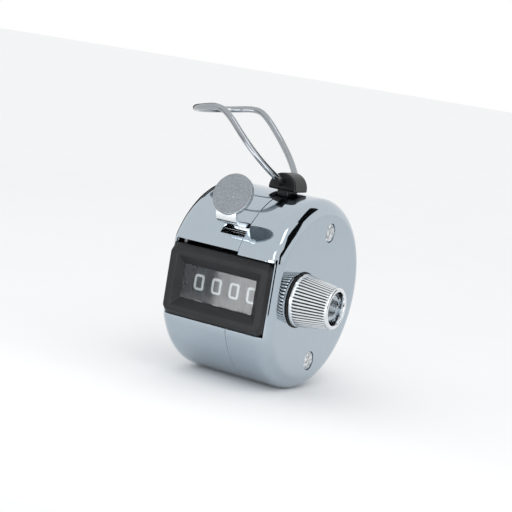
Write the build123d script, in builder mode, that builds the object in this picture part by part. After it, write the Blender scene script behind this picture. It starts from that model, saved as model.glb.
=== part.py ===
"""Hand tally counter: chromed drum case, four number wheels, thumb lever, reset knob and finger ring.

Frame: X along the drum's axis towards the reset knob, -Y towards the window, +Z up.
The origin is the centre of the drum's flat left end face. All lengths are in millimetres.
"""

from build123d import *
import os
from math import cos, pi, radians, sin, tan

os.makedirs("parts", exist_ok=True)

# ---------------------------------------------------------------- driving dimensions
DRUM_R = 22.5              # outside of the case
DRUM_W = 29.0              # over the two end faces
EDGE_R = 3.5               # rolled outer edges of both shells
WALL = 0.8                 # pressed sheet
FLAT_Y = -20.5             # flat front of the case, where the window sits
SEAM_X = 18.3              # joint between the two shells
LIP_REACH = 2.0            # how far the left shell's lip goes under the right shell
FIT = 0.05                 # running clearance on a radius
MID_X = DRUM_W / 2

WHEEL_Y = -7.5             # number wheels' axis
WHEEL_Z = -0.35
WHEEL_R = 10.0
WHEEL_WIDTH = 3.5
WHEEL_PITCH = 4.68
FIRST_WHEEL_X = 8.15       # centre of the thousands wheel
WHEEL_NAMES = ("thousands", "hundreds", "tens", "units")
WHEEL_XS = [FIRST_WHEEL_X + i * WHEEL_PITCH for i in range(len(WHEEL_NAMES))]
SHAFT_R = 2.0
HUB_R = 2.8
RATCHET_TIP_R = 4.6
RATCHET_ROOT_R = 3.8
RATCHET_T = 0.8
RATCHET_TEETH = 10
RATCHET_OFFSET = WHEEL_WIDTH / 2 + 0.2      # from a wheel's centre to its ratchet
FINGER_T = RATCHET_T - 0.1
FINGER_OFFSET = RATCHET_OFFSET + (RATCHET_T - FINGER_T) / 2

PLATE_T = 0.8
PLATE_R = 20.9
PLATE_FRONT_Y = -17.6
LEFT_PLATE_X = 2.4
RIGHT_PLATE_X = DRUM_W - LEFT_PLATE_X - PLATE_T
ROD_R = 1.2
PILLAR_R = 1.8
PILLAR_NECK_R = 1.1
PILLAR_Y = 2.0
PILLAR_REACH = 15.2        # above and below the wheels' axis
DETENT_ROD = (-3.0, -13.0)

BEZEL_FRONT_Y = -21.42
BEZEL_BACK_Y = -18.2
BEZEL_W = 25.8             # front face
BEZEL_H = 14.2
BEZEL_SKIRT_Y = -20.2      # where the sloping rim reaches the case
BEZEL_SKIRT_W = 26.3
BEZEL_SKIRT_H = 16.6
SIGHT_W = 21.95            # opening in the front face
SIGHT_H = 11.4
LENS_W = 19.05             # clear sight of the lens
LENS_H = 7.8
LENS_FRONT_Y = -19.93
LENS_T = 1.0
LENS_LAP = 0.7             # the lens reaches this far behind the frame
LEFT_SHELL_SIGHT_TOP = 9.1
RIGHT_SHELL_SIGHT_TOP = 8.35

LEVER_PIVOT = (-13.0, 13.4)
LEVER_X = 15.4             # lever's centre line
LEVER_W = 5.2
LEVER_T = 1.0
SLOT_X = 12.2              # slot runs from here to the seam
SLOT_TOP = 15.2
SLOT_BOTTOM = 12.2
PAD_R = 4.9
PAD_T = 1.1
PAD_CENTRE = (-21.5, 21.4)
PAD_LEAN = 22.5            # degrees back from upright
PAWL_PIN = (-2.7, 11.5)
PAWL_PIN_R = 0.75
PAWL_TIP = (-2.1, -0.1)

KNOB_GAP = 0.35
KNOB_L = 9.2
KNOB_BASE_R = 6.2
KNOB_TIP_R = 4.75
KNOB_BORE_R = 3.9
WASHER_R = 6.5
WASHER_T = 0.25

CLIP_Y = -2.25             # centre of the ring's clip along the top of the drum
CLIP_HALF = 2.95
CLIP_R = 3.6
CLIP_BASE_Z = 22.9
CLIP_CENTRE_Z = 23.4
CLIP_FOOT_Z = 20.0         # top of the foot under the case wall
NECK_W = 3.2
NECK_L = 4.4
RING_AXIS_Z = 24.8
WIRE_R = 0.75
RING_LEAN = 45.5           # degrees from upright, towards the left end
RING_TIP_LEAN = 101.0
RING_BEND_AT = 21.4        # from the hinge to the bend
RING_LENGTH = 33.0

RIVET_HEAD_R = 2.15
RIVET_SHANK_R = 1.0
RIVET_HEAD_T = 0.35
RIVET_SINK = 0.4

PILLARS = [(PILLAR_Y, WHEEL_Z + side * PILLAR_REACH) for side in (1, -1)]


def section(x):
    """Plane across the drum at x, with local x along +Y and local y along +Z."""
    return Plane.YZ.offset(x)


def drum_outline(inset):
    """Round outline with the flat front, set in from the outside."""
    Circle(DRUM_R - inset)
    with Locations((FLAT_Y + inset - DRUM_R, 0)):
        Rectangle(2 * DRUM_R, 3 * DRUM_R, mode=Mode.SUBTRACT)


def end_edges(part, x):
    """All edges of a part that lie in the plane at x."""
    flat_edges = part.edges().filter_by(lambda edge: edge.bounding_box().size.X < 1e-3)
    return flat_edges.filter_by(lambda edge: abs(edge.center().X - x) < 1e-3)


def finish(builder, name):
    """Label a finished piece and write it out."""
    builder.part.label = name
    export_step(builder.part, f"parts/{name}.step")


# ---------------------------------------------------------------- left shell
with BuildPart() as left_cavity:
    with BuildSketch(section(WALL)):
        drum_outline(WALL)
    extrude(amount=SEAM_X - 1.5 - WALL)
    fillet(end_edges(left_cavity, WALL), EDGE_R - WALL)
    with BuildSketch(section(SEAM_X - 1.5)):
        drum_outline(2 * WALL + FIT)
    extrude(amount=LIP_REACH + 2.0)

with BuildPart() as left_shell:
    with BuildSketch(section(0)):
        drum_outline(0)
    extrude(amount=SEAM_X)
    fillet(end_edges(left_shell, 0), EDGE_R)
    with BuildSketch(section(SEAM_X)):
        drum_outline(WALL + FIT)
    extrude(amount=LIP_REACH)
    add(left_cavity.part, mode=Mode.SUBTRACT)
    # window opening, slot for the lever, notch for the ring's clip, rivet seats
    sight_mid = (LEFT_SHELL_SIGHT_TOP - BEZEL_SKIRT_H / 2 + WHEEL_Z) / 2
    sight_height = LEFT_SHELL_SIGHT_TOP + BEZEL_SKIRT_H / 2 - WHEEL_Z
    with Locations((MID_X, FLAT_Y, sight_mid)):
        Box(BEZEL_SKIRT_W + 0.1, 8, sight_height, mode=Mode.SUBTRACT)
    with Locations((SLOT_X, -DRUM_R, SLOT_BOTTOM)):
        Box(DRUM_R, DRUM_R, SLOT_TOP - SLOT_BOTTOM, align=(Align.MIN, Align.CENTER, Align.MIN),
            mode=Mode.SUBTRACT)
    with Locations((SEAM_X, CLIP_Y, DRUM_R)):
        Box(NECK_W + 0.2, NECK_L + 0.2, 8, mode=Mode.SUBTRACT)
    with BuildSketch(section(0)):
        with Locations(*PILLARS):
            Circle(RIVET_HEAD_R + 0.15)
    extrude(amount=RIVET_SINK, mode=Mode.SUBTRACT)
    with BuildSketch(section(0)):
        with Locations(*PILLARS):
            Circle(RIVET_SHANK_R)
    extrude(amount=2 * WALL, mode=Mode.SUBTRACT)
finish(left_shell, "left_shell")

# ---------------------------------------------------------------- right shell
with BuildPart() as right_cavity:
    with BuildSketch(section(SEAM_X)):
        drum_outline(WALL)
    extrude(amount=DRUM_W - WALL - SEAM_X)
    fillet(end_edges(right_cavity, DRUM_W - WALL), EDGE_R - WALL)

with BuildPart() as right_shell:
    with BuildSketch(section(SEAM_X)):
        drum_outline(0)
    extrude(amount=DRUM_W - SEAM_X)
    fillet(end_edges(right_shell, DRUM_W), EDGE_R)
    add(right_cavity.part, mode=Mode.SUBTRACT)
    sight_mid = (RIGHT_SHELL_SIGHT_TOP - BEZEL_SKIRT_H / 2 + WHEEL_Z) / 2
    sight_height = RIGHT_SHELL_SIGHT_TOP + BEZEL_SKIRT_H / 2 - WHEEL_Z
    with Locations((MID_X, FLAT_Y, sight_mid)):
        Box(BEZEL_SKIRT_W + 0.1, 8, sight_height, mode=Mode.SUBTRACT)
    with Locations((SEAM_X, CLIP_Y, DRUM_R)):
        Box(NECK_W + 0.2, NECK_L + 0.2, 8, mode=Mode.SUBTRACT)
    with BuildSketch(section(DRUM_W)):
        with Locations(*PILLARS):
            Circle(RIVET_HEAD_R + 0.15)
    extrude(amount=-RIVET_SINK, mode=Mode.SUBTRACT)
    with BuildSketch(section(DRUM_W)):
        with Locations(*PILLARS):
            Circle(RIVET_SHANK_R)
        with Locations((WHEEL_Y, WHEEL_Z)):
            Circle(SHAFT_R + 0.6)
    extrude(amount=-2 * WALL, mode=Mode.SUBTRACT)
finish(right_shell, "right_shell")

# ---------------------------------------------------------------- window frame and lens
WINDOW = Plane(origin=(MID_X, 0, WHEEL_Z), x_dir=(1, 0, 0), z_dir=(0, -1, 0))

with BuildPart() as sight_cut:
    with BuildSketch(WINDOW.offset(-BEZEL_FRONT_Y)):
        Rectangle(SIGHT_W, SIGHT_H)
    with BuildSketch(WINDOW.offset(-LENS_FRONT_Y)):
        Rectangle(LENS_W, LENS_H)
    loft()

with BuildPart() as window_frame:
    with BuildSketch(WINDOW.offset(-BEZEL_SKIRT_Y)):
        RectangleRounded(BEZEL_SKIRT_W, BEZEL_SKIRT_H, 1.6)
    with BuildSketch(WINDOW.offset(-BEZEL_FRONT_Y)):
        RectangleRounded(BEZEL_W, BEZEL_H, 1.2)
    loft()
    with BuildSketch(WINDOW.offset(-BEZEL_BACK_Y)):
        RectangleRounded(BEZEL_SKIRT_W - 0.1, BEZEL_SKIRT_H - 0.1, 1.6)
    extrude(amount=BEZEL_BACK_Y - BEZEL_SKIRT_Y)
    add(sight_cut.part, mode=Mode.SUBTRACT)
    with BuildSketch(WINDOW.offset(-BEZEL_BACK_Y)):
        Rectangle(LENS_W + 2 * LENS_LAP, LENS_H + 2 * LENS_LAP)
    extrude(amount=BEZEL_BACK_Y - LENS_FRONT_Y, mode=Mode.SUBTRACT)
    # ears that straddle the frame plates
    ear_t = 0.85
    for ear_x in (LEFT_PLATE_X - FIT - ear_t, RIGHT_PLATE_X + PLATE_T + FIT):
        with Locations((ear_x, BEZEL_BACK_Y - 0.5, WHEEL_Z)):
            Box(ear_t, 4.5, 6, align=(Align.MIN, Align.MIN, Align.CENTER))
finish(window_frame, "window_frame")

with BuildPart() as window_lens:
    with BuildSketch(WINDOW.offset(-LENS_FRONT_Y)):
        Rectangle(LENS_W + 2 * LENS_LAP, LENS_H + 2 * LENS_LAP)
    extrude(amount=-LENS_T)
finish(window_lens, "window_lens")

# ---------------------------------------------------------------- frame plates, pillars and rods
LUG_TOP = -0.2             # lug that holds the lower end of the lever's spring
SPRING_X = 4.7
SPRING_Y = -4.2

for plate_name, plate_x in (("left_frame_plate", LEFT_PLATE_X), ("right_frame_plate", RIGHT_PLATE_X)):
    with BuildPart() as frame_plate:
        with BuildSketch(section(plate_x)):
            Circle(PLATE_R)
            with Locations((PLATE_FRONT_Y - DRUM_R, 0)):
                Rectangle(2 * DRUM_R, 3 * DRUM_R, mode=Mode.SUBTRACT)
            with Locations((WHEEL_Y, WHEEL_Z)):
                Circle(SHAFT_R + FIT, mode=Mode.SUBTRACT)
            with Locations(*PILLARS):
                Circle(PILLAR_NECK_R, mode=Mode.SUBTRACT)
            with Locations(LEVER_PIVOT, DETENT_ROD):
                Circle(ROD_R, mode=Mode.SUBTRACT)
            with Locations((11.5, 0)):
                SlotOverall(14, 7, rotation=90, mode=Mode.SUBTRACT)
        extrude(amount=PLATE_T)
        if plate_name.startswith("left"):
            with Locations((plate_x + PLATE_T, SPRING_Y, LUG_TOP)):
                Box(2.4, 1.2, 0.8, align=(Align.MIN, Align.CENTER, Align.MAX))
            with Locations((SPRING_X, SPRING_Y, LUG_TOP)):
                Cylinder(0.4, 4, mode=Mode.SUBTRACT)
    finish(frame_plate, plate_name)

with BuildPart() as frame_pillars:
    with BuildSketch(section(LEFT_PLATE_X + PLATE_T)):
        with Locations(*PILLARS):
            Circle(PILLAR_R)
    extrude(amount=RIGHT_PLATE_X - LEFT_PLATE_X - PLATE_T)
    with BuildSketch(section(WALL)):
        with Locations(*PILLARS):
            Circle(PILLAR_NECK_R)
    extrude(amount=DRUM_W - 2 * WALL)
    with BuildSketch(section(0)):
        with Locations(*PILLARS):
            Circle(RIVET_SHANK_R)
    extrude(amount=DRUM_W, mode=Mode.SUBTRACT)
finish(frame_pillars, "frame_pillars")

with BuildPart() as case_rivets:
    for outside, inward in ((0, 1), (DRUM_W, -1)):
        with BuildSketch(section(outside + inward * RIVET_SINK)):
            with Locations(*PILLARS):
                Circle(RIVET_HEAD_R)
        extrude(amount=-inward * RIVET_HEAD_T)
        with BuildSketch(section(outside + inward * (RIVET_SINK - 0.01))):
            with Locations(*PILLARS):
                Circle(RIVET_SHANK_R)
        extrude(amount=inward * 8)
    fillet(case_rivets.edges().filter_by(GeomType.CIRCLE).filter_by(
        lambda edge: abs(edge.radius - RIVET_HEAD_R) < 1e-3
        and min(edge.center().X, DRUM_W - edge.center().X) < RIVET_SINK / 2), 0.2)
finish(case_rivets, "case_rivets")

for rod_name, rod_centre in (("lever_pivot_rod", LEVER_PIVOT), ("detent_rod", DETENT_ROD)):
    with BuildPart() as rod:
        with BuildSketch(section(LEFT_PLATE_X)):
            with Locations(rod_centre):
                Circle(ROD_R)
        extrude(amount=RIGHT_PLATE_X + PLATE_T - LEFT_PLATE_X)
    finish(rod, rod_name)

# ---------------------------------------------------------------- wheel shaft, knob and their small parts
SHAFT_END_X = DRUM_W + KNOB_GAP + 4.4
SHAFT_START_X = 1.2
SHAFT_CLIP_X = 1.6
SHAFT_CLIP_T = 0.6
GROOVE = 0.7

with BuildPart() as wheel_shaft:
    with BuildSketch(section(SHAFT_START_X)):
        with Locations((WHEEL_Y, WHEEL_Z)):
            Circle(SHAFT_R)
    extrude(amount=SHAFT_END_X - SHAFT_START_X)
    # long groove that the reset catches drop into
    with Locations((FIRST_WHEEL_X - WHEEL_WIDTH / 2, WHEEL_Y, WHEEL_Z + SHAFT_R)):
        groove_at = (Align.MIN, Align.CENTER, Align.CENTER)
        Box(4 * WHEEL_PITCH, GROOVE, GROOVE, align=groove_at, mode=Mode.SUBTRACT)
    with BuildSketch(section(SHAFT_CLIP_X)):
        with Locations((WHEEL_Y, WHEEL_Z)):
            Circle(SHAFT_R + 1, mode=Mode.ADD)
            Circle(SHAFT_R - 0.4, mode=Mode.SUBTRACT)
    extrude(amount=SHAFT_CLIP_T, mode=Mode.SUBTRACT)
finish(wheel_shaft, "wheel_shaft")

with BuildPart() as shaft_clip:
    with BuildSketch(section(SHAFT_CLIP_X)):
        with Locations((WHEEL_Y, WHEEL_Z)):
            Circle(SHAFT_R + 1.6)
            Circle(SHAFT_R - 0.4, mode=Mode.SUBTRACT)
        with Locations((WHEEL_Y, WHEEL_Z - SHAFT_R)):
            Rectangle(2 * (SHAFT_R - 0.6), 2 * SHAFT_R, mode=Mode.SUBTRACT)
    extrude(amount=SHAFT_CLIP_T)
finish(shaft_clip, "shaft_clip")

with BuildPart() as wheel_spacer:
    with BuildSketch(section(LEFT_PLATE_X + PLATE_T + 0.05)):
        with Locations((WHEEL_Y, WHEEL_Z)):
            Circle(HUB_R - 0.2)
            Circle(SHAFT_R + FIT, mode=Mode.SUBTRACT)
    extrude(amount=FIRST_WHEEL_X - WHEEL_WIDTH / 2 - LEFT_PLATE_X - PLATE_T - 0.15)
finish(wheel_spacer, "wheel_spacer")

KNOB_X = DRUM_W + KNOB_GAP
KNOB_FLOOR = 4.8           # solid hub behind the hollow end
with BuildPart() as reset_knob:
    with BuildSketch(section(KNOB_X)):
        with Locations((WHEEL_Y, WHEEL_Z)):
            Circle(KNOB_BASE_R)
    with BuildSketch(section(KNOB_X + KNOB_L)):
        with Locations((WHEEL_Y, WHEEL_Z)):
            Circle(KNOB_TIP_R)
    loft()
    with BuildSketch(section(KNOB_X + KNOB_FLOOR)):
        with Locations((WHEEL_Y, WHEEL_Z)):
            Circle(KNOB_BORE_R)
    extrude(amount=KNOB_L, mode=Mode.SUBTRACT)
    with BuildSketch(section(KNOB_X)):
        with Locations((WHEEL_Y, WHEEL_Z)):
            Circle(SHAFT_R)
    extrude(amount=KNOB_L, mode=Mode.SUBTRACT)
    fillet(end_edges(reset_knob, KNOB_X + KNOB_L), 0.3)
finish(reset_knob, "reset_knob")

with BuildPart() as knob_washer:
    with BuildSketch(section(DRUM_W + 0.02)):
        with Locations((WHEEL_Y, WHEEL_Z)):
            Circle(WASHER_R)
            Circle(SHAFT_R + FIT, mode=Mode.SUBTRACT)
    extrude(amount=WASHER_T)
finish(knob_washer, "knob_washer")

# ---------------------------------------------------------------- number wheels
RIM_T = 1.3
WEB_T = 1.0
CATCH_W = 0.8
CATCH_X = -WHEEL_WIDTH / 2 + 0.1       # from a wheel's centre to its reset catch


def wheel_circle(radius, mode=Mode.ADD):
    """Circle about the number wheels' axis."""
    with Locations((WHEEL_Y, WHEEL_Z)):
        Circle(radius, mode=mode)


def ratchet_point(tooth, share, radius):
    """Point of the ratchet's outline, share of the way through a tooth."""
    angle = 2 * pi * (tooth + share) / RATCHET_TEETH
    return (WHEEL_Y + radius * cos(angle), WHEEL_Z + radius * sin(angle))


RATCHET_OUTLINE = []
for tooth in range(RATCHET_TEETH):
    RATCHET_OUTLINE.append(ratchet_point(tooth, 0.0, RATCHET_ROOT_R))
    RATCHET_OUTLINE.append(ratchet_point(tooth, 0.8, RATCHET_TIP_R))
    RATCHET_OUTLINE.append(ratchet_point(tooth, 0.95, RATCHET_TIP_R))

for wheel_name, wheel_x in zip(WHEEL_NAMES, WHEEL_XS):
    with BuildPart() as number_wheel:
        with BuildSketch(section(wheel_x - WHEEL_WIDTH / 2)):
            wheel_circle(WHEEL_R)
            wheel_circle(WHEEL_R - RIM_T, mode=Mode.SUBTRACT)
        extrude(amount=WHEEL_WIDTH)
        with BuildSketch(section(wheel_x - WEB_T / 2)):
            wheel_circle(WHEEL_R - RIM_T / 2)
        extrude(amount=WEB_T)
        with BuildSketch(section(wheel_x - WHEEL_WIDTH / 2)):
            wheel_circle(HUB_R)
        extrude(amount=WHEEL_WIDTH / 2 + RATCHET_OFFSET + RATCHET_T + 0.1)
        with BuildSketch(section(wheel_x - WHEEL_WIDTH / 2)):
            wheel_circle(SHAFT_R + FIT)
        extrude(amount=2 * WHEEL_WIDTH, mode=Mode.SUBTRACT)
        with Locations((wheel_x + CATCH_X, WHEEL_Y, WHEEL_Z + SHAFT_R)):
            Box(CATCH_W, 1.0, 2.0, align=(Align.MIN, Align.CENTER, Align.CENTER), mode=Mode.SUBTRACT)
    finish(number_wheel, f"number_wheel_{wheel_name}")

    with BuildPart() as ratchet:
        with BuildSketch(section(wheel_x + RATCHET_OFFSET)):
            with BuildLine():
                Polyline(*RATCHET_OUTLINE, close=True)
            make_face()
            wheel_circle(HUB_R, mode=Mode.SUBTRACT)
        extrude(amount=RATCHET_T)
    finish(ratchet, f"ratchet_{wheel_name}")

    with BuildPart() as reset_catch:
        with BuildSketch(section(wheel_x + CATCH_X)):
            wheel_circle(HUB_R + 0.5)
            wheel_circle(HUB_R, mode=Mode.SUBTRACT)
            with Locations((WHEEL_Y, WHEEL_Z - HUB_R)):
                Rectangle(3 * HUB_R, HUB_R, mode=Mode.SUBTRACT)
            with Locations((WHEEL_Y, WHEEL_Z + SHAFT_R + 0.1)):
                Rectangle(0.6, HUB_R - SHAFT_R, align=(Align.CENTER, Align.MIN))
        extrude(amount=CATCH_W)
    finish(reset_catch, f"reset_catch_{wheel_name}")

# ---------------------------------------------------------------- thumb lever
pad_up = (sin(radians(PAD_LEAN)), cos(radians(PAD_LEAN)))
LEVER_BEND = (PAD_CENTRE[0] - 6.3 * pad_up[0], PAD_CENTRE[1] - 6.3 * pad_up[1])
LEVER_LIFT = 0.7           # the front arm leaves the sleeve above its centre
SLEEVE_R = 2.0
HORN_T = 1.0

with BuildPart() as thumb_lever:
    with BuildSketch(section(LEVER_X - LEVER_W / 2)):
        with BuildLine():
            FilletPolyline((LEVER_PIVOT[0], LEVER_PIVOT[1] + LEVER_LIFT), LEVER_BEND, PAD_CENTRE, radius=2.4)
        trace(line_width=LEVER_T)
        with BuildLine():
            Polyline(LEVER_PIVOT, PAWL_PIN)
        trace(line_width=LEVER_T)
        with Locations(LEVER_PIVOT):
            Circle(SLEEVE_R)
        with Locations(PAWL_PIN):
            Circle(PAWL_PIN_R + 0.75)
    extrude(amount=LEVER_W)
    # sleeve on the pivot rod, with a horn at its left end for the return spring
    with BuildSketch(section(SPRING_X - HORN_T / 2)):
        with Locations(LEVER_PIVOT):
            Circle(SLEEVE_R)
    extrude(amount=LEVER_X - SPRING_X)
    with BuildSketch(section(SPRING_X - HORN_T)):
        with BuildLine():
            Polyline(LEVER_PIVOT, (SPRING_Y, PAWL_PIN[1] + 0.4))
        trace(line_width=LEVER_T)
        with Locations((SPRING_Y, PAWL_PIN[1] + 0.4)):
            Circle(1.0)
    extrude(amount=2 * HORN_T)
    with BuildSketch(section(0)):
        with Locations(LEVER_PIVOT):
            Circle(ROD_R + FIT)
    extrude(amount=DRUM_W, mode=Mode.SUBTRACT)
    # the pin's hole goes through the arm only, and leaves the horn whole
    with BuildSketch(section(LEVER_X - LEVER_W / 2)):
        with Locations(PAWL_PIN):
            Circle(PAWL_PIN_R)
    extrude(amount=LEVER_W, mode=Mode.SUBTRACT)
    with Locations((SPRING_X, SPRING_Y, PAWL_PIN[1])):
        Cylinder(0.4, 4, mode=Mode.SUBTRACT)
    pad_plane = Plane(origin=(LEVER_X, PAD_CENTRE[0], PAD_CENTRE[1]), x_dir=(1, 0, 0),
                      z_dir=(0, -pad_up[1], pad_up[0]))
    with BuildSketch(pad_plane.offset(-PAD_T / 2)):
        Circle(PAD_R)
    extrude(amount=PAD_T)
finish(thumb_lever, "thumb_lever")

# ---------------------------------------------------------------- drive pawl and its pin
CHEEK_T = 0.9
CHEEK_GAP = 0.2
CHEEKS = (LEVER_X - LEVER_W / 2 - CHEEK_GAP - CHEEK_T, LEVER_X + LEVER_W / 2 + CHEEK_GAP)
COMB_TOP = (1.6, 9.0)
COMB_LOW = (1.8, 6.6)
PIN_OVERHANG = 2.4

with BuildPart() as pawl_pin:
    with BuildSketch(section(CHEEKS[0] - 0.3)):
        with Locations(PAWL_PIN):
            Circle(PAWL_PIN_R)
    extrude(amount=CHEEKS[1] - CHEEKS[0] + CHEEK_T + 0.3 + PIN_OVERHANG)
finish(pawl_pin, "pawl_pin")

with BuildPart() as drive_pawl:
    for cheek_x in CHEEKS:
        with BuildSketch(section(cheek_x)):
            with BuildLine():
                Polyline(PAWL_PIN, COMB_TOP)
            trace(line_width=1.4)
            with Locations(PAWL_PIN):
                Circle(PAWL_PIN_R + 0.75)
                Circle(PAWL_PIN_R + FIT, mode=Mode.SUBTRACT)
            with Locations(COMB_TOP):
                Circle(0.7)
        extrude(amount=CHEEK_T)
    first_finger = WHEEL_XS[0] + FINGER_OFFSET
    with BuildSketch(section(first_finger)):
        with BuildLine():
            Polyline(COMB_TOP, COMB_LOW)
        trace(line_width=0.8)
    extrude(amount=3 * WHEEL_PITCH + FINGER_T)
    for wheel_x in WHEEL_XS:
        with BuildSketch(section(wheel_x + FINGER_OFFSET)):
            with BuildLine():
                Polyline(COMB_TOP, COMB_LOW, (1.4, 1.4), PAWL_TIP)
            trace(line_width=0.8)
        extrude(amount=FINGER_T)
finish(drive_pawl, "drive_pawl")

# ---------------------------------------------------------------- detent comb spring
DETENT_T = 0.4
with BuildPart() as detent_spring:
    with BuildSketch(section(WHEEL_XS[0] + FINGER_OFFSET)):
        with BuildLine():
            Polyline((DETENT_ROD[0], DETENT_ROD[1] + ROD_R + 0.2), (-4.3, -11.8))
        trace(line_width=DETENT_T)
        with Locations(DETENT_ROD):
            Circle(ROD_R + 0.4)
            Circle(ROD_R, mode=Mode.SUBTRACT)
    extrude(amount=3 * WHEEL_PITCH + FINGER_T)
    for wheel_x in WHEEL_XS:
        with BuildSketch(section(wheel_x + FINGER_OFFSET)):
            with BuildLine():
                Polyline((DETENT_ROD[0], DETENT_ROD[1] + ROD_R + 0.2), (-4.3, -11.8), (-7.2, -5.5))
            trace(line_width=DETENT_T)
        extrude(amount=FINGER_T)
finish(detent_spring, "detent_spring")

# ---------------------------------------------------------------- springs
SPRING_WIRE_R = 0.18
SPRINGS = (
    # name, first turn's centre, axis, coil radius, pitch, height
    ("lever_spring", (SPRING_X, SPRING_Y, 1.6), (0, 0, 1), 1.0, 0.55, 8.8),
    ("pawl_spring", (CHEEKS[1] + CHEEK_T + 0.4, *PAWL_PIN), (1, 0, 0), 1.05, 0.45, 1.35),
)
for spring_name, start, axis, coil_r, pitch, height in SPRINGS:
    with BuildPart() as spring:
        with BuildLine() as turns:
            Helix(pitch, height, coil_r, center=start, direction=axis)
        route = turns.edges()[0]
        with BuildSketch(Plane(origin=route @ 0, z_dir=route % 0)):
            Circle(SPRING_WIRE_R)
        sweep(path=route)
    finish(spring, spring_name)

# ---------------------------------------------------------------- ring clip
with BuildPart() as ring_clip:
    with BuildSketch(Plane.XZ.offset(-CLIP_Y - CLIP_HALF)):
        with Locations((SEAM_X, CLIP_CENTRE_Z)):
            Circle(CLIP_R)
        with Locations((SEAM_X, CLIP_BASE_Z)):
            Rectangle(4 * CLIP_R, 4 * CLIP_R, align=(Align.CENTER, Align.MAX), mode=Mode.SUBTRACT)
    extrude(amount=2 * CLIP_HALF)
    fillet(ring_clip.edges().filter_by(GeomType.CIRCLE), 0.4)
    with Locations((SEAM_X, CLIP_Y, CLIP_BASE_Z + 0.1)):
        Box(NECK_W, NECK_L, CLIP_BASE_Z - CLIP_FOOT_Z + 0.2, align=(Align.CENTER, Align.CENTER, Align.MAX))
    with Locations((SEAM_X, CLIP_Y, CLIP_FOOT_Z)):
        Box(NECK_W + 1.6, NECK_L + 1.6, 1.0, align=(Align.CENTER, Align.CENTER, Align.MAX))
    with BuildSketch(Plane.XZ.offset(-CLIP_Y - CLIP_HALF)):
        with Locations((SEAM_X, RING_AXIS_Z)):
            Circle(WIRE_R + FIT)
    extrude(amount=2 * CLIP_HALF, mode=Mode.SUBTRACT)
finish(ring_clip, "ring_clip")


# ---------------------------------------------------------------- finger ring
def ring_point(along, across):
    """Point of the ring's wire: distance along its bent profile, and across it from the middle."""
    straight = min(along, RING_BEND_AT)
    beyond = max(along - RING_BEND_AT, 0)
    lean = radians(RING_LEAN)
    tip_lean = radians(RING_TIP_LEAN)
    x = SEAM_X - straight * sin(lean) - beyond * sin(tip_lean)
    z = RING_AXIS_Z + straight * cos(lean) + beyond * cos(tip_lean)
    return Vector(x, CLIP_Y + across, z)


def corner_radius(before, corner, after):
    """Largest sensible arc at a corner of the wire's route."""
    turn = radians(180 - (before - corner).get_angle(after - corner))
    return 0.45 * min((before - corner).length, (after - corner).length) / tan(turn / 2)


LEG_OUT = CLIP_HALF + 0.2 + WIRE_R
half_route = [
    ring_point(0, LEG_OUT - 3.0),
    ring_point(0, LEG_OUT),
    ring_point(6.0, 7.4),
    ring_point(12.0, 8.7),
    ring_point(RING_BEND_AT - 2.0, 8.8),
    ring_point(RING_BEND_AT + 1.6, 8.8),
    ring_point(28.2, 7.8),
    ring_point(RING_LENGTH, 3.6),
]
other_half = [Vector(p.X, 2 * CLIP_Y - p.Y, p.Z) for p in reversed(half_route)]
ring_route = half_route + other_half
ring_radii = [corner_radius(*ring_route[i - 1:i + 2]) for i in range(1, len(ring_route) - 1)]

with BuildPart() as finger_ring:
    with BuildLine() as ring_line:
        FilletPolyline(*ring_route, radius=ring_radii)
    with BuildSketch(Plane(origin=ring_route[0], z_dir=ring_route[1] - ring_route[0])):
        Circle(WIRE_R)
    sweep(path=ring_line.wires()[0])
finish(finger_ring, "finger_ring")
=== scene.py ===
"""Looks of a hand tally counter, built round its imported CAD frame. All lengths are in metres."""

from math import acos, atan2, cos, pi, radians, sin

import bmesh
import bpy
from bmesh.types import BMEdge, BMFace, BMVert
from bpy.props import FloatProperty, FloatVectorProperty, IntProperty, PointerProperty
from bpy.types import Operator, Panel, PropertyGroup
from mathutils import Matrix, Vector, noise


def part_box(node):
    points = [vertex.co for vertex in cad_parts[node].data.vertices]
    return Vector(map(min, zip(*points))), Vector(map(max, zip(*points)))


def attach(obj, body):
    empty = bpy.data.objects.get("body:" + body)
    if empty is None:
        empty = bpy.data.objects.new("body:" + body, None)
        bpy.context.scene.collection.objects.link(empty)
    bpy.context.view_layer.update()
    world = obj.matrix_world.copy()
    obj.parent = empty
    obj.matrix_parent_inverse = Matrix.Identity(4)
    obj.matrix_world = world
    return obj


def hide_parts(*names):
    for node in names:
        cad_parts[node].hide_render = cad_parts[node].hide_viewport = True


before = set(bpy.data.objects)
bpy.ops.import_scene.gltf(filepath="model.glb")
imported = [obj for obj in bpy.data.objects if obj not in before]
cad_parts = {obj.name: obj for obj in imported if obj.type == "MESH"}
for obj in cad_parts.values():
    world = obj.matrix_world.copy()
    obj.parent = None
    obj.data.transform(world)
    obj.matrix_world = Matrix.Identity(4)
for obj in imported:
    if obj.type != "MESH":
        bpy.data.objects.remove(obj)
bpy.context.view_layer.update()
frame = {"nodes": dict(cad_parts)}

bl_info = {
    "name": "Tally Counter",
    "version": (1, 0, 0),
    "blender": (4, 5, 0),
    "location": "View3D > Sidebar > Tally",
    "description": "Builds the visible pieces of a hand tally counter round its frame",
    "category": "Object",
}

MM = 0.001

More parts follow.
